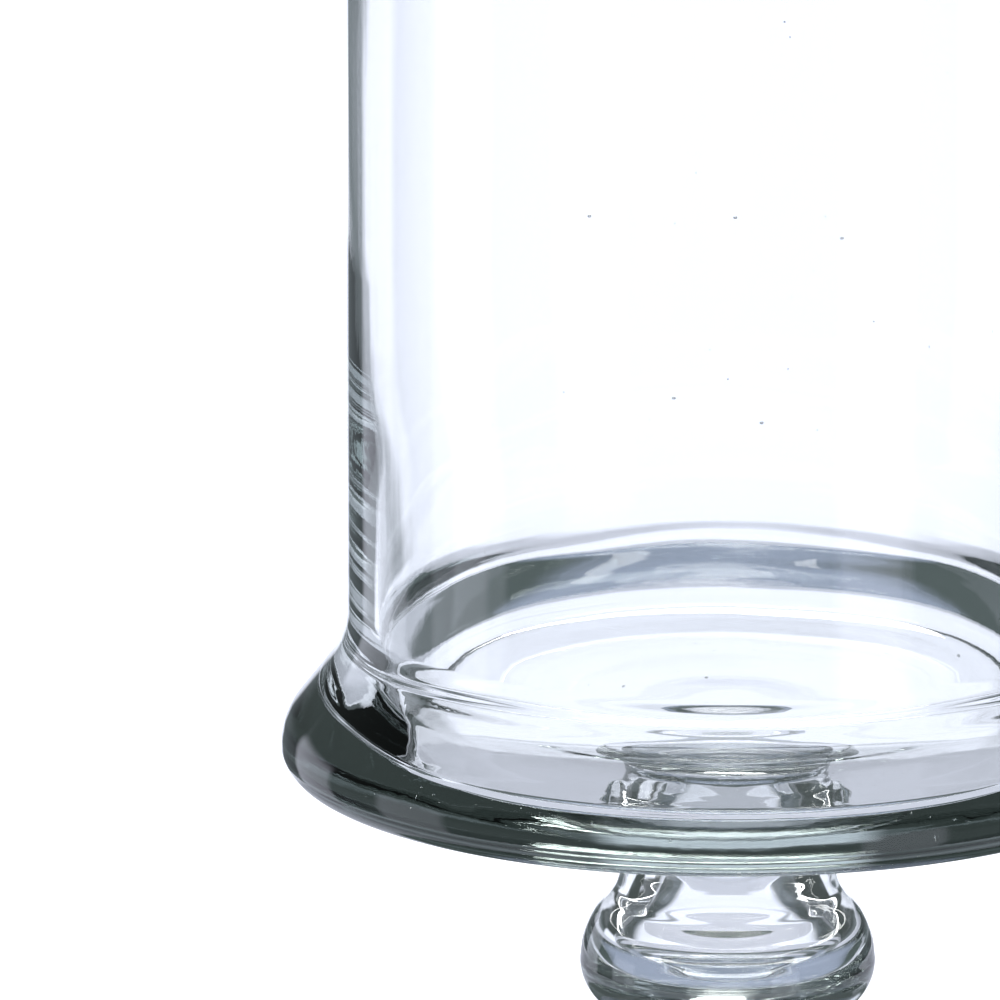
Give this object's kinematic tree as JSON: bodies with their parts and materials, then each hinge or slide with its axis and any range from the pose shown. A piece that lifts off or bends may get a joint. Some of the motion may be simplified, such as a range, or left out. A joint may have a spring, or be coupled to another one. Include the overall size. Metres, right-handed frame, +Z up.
{
  "type": "footed glass vessel",
  "caption": "Tall open glass cylinder with a thick floor and a wide rounded ledge round its base, on a hollow knopped stem and a round foot.",
  "frame": {"origin": "middle of the plane that the foot rests on", "axes": "+Z up along the axis of revolution"},
  "size_m": [0.188, 0.188, 0.308],
  "materials": {
    "vessel_glass": "clear mouth-blown soda glass, very slightly grey-green where it is thick, fire-polished, with a few seeds and faint drawn streaks",
    "stem_glass": "the same clear glass in thick gathers, slightly grey-green, tooled smooth while hot"
  },
  "bodies": {
    "root": {"vessel": "vessel_glass", "upper_wafer": "stem_glass", "knop": "stem_glass", "lower_wafer": "stem_glass", "foot": "stem_glass"}
  },
  "joints": []
}
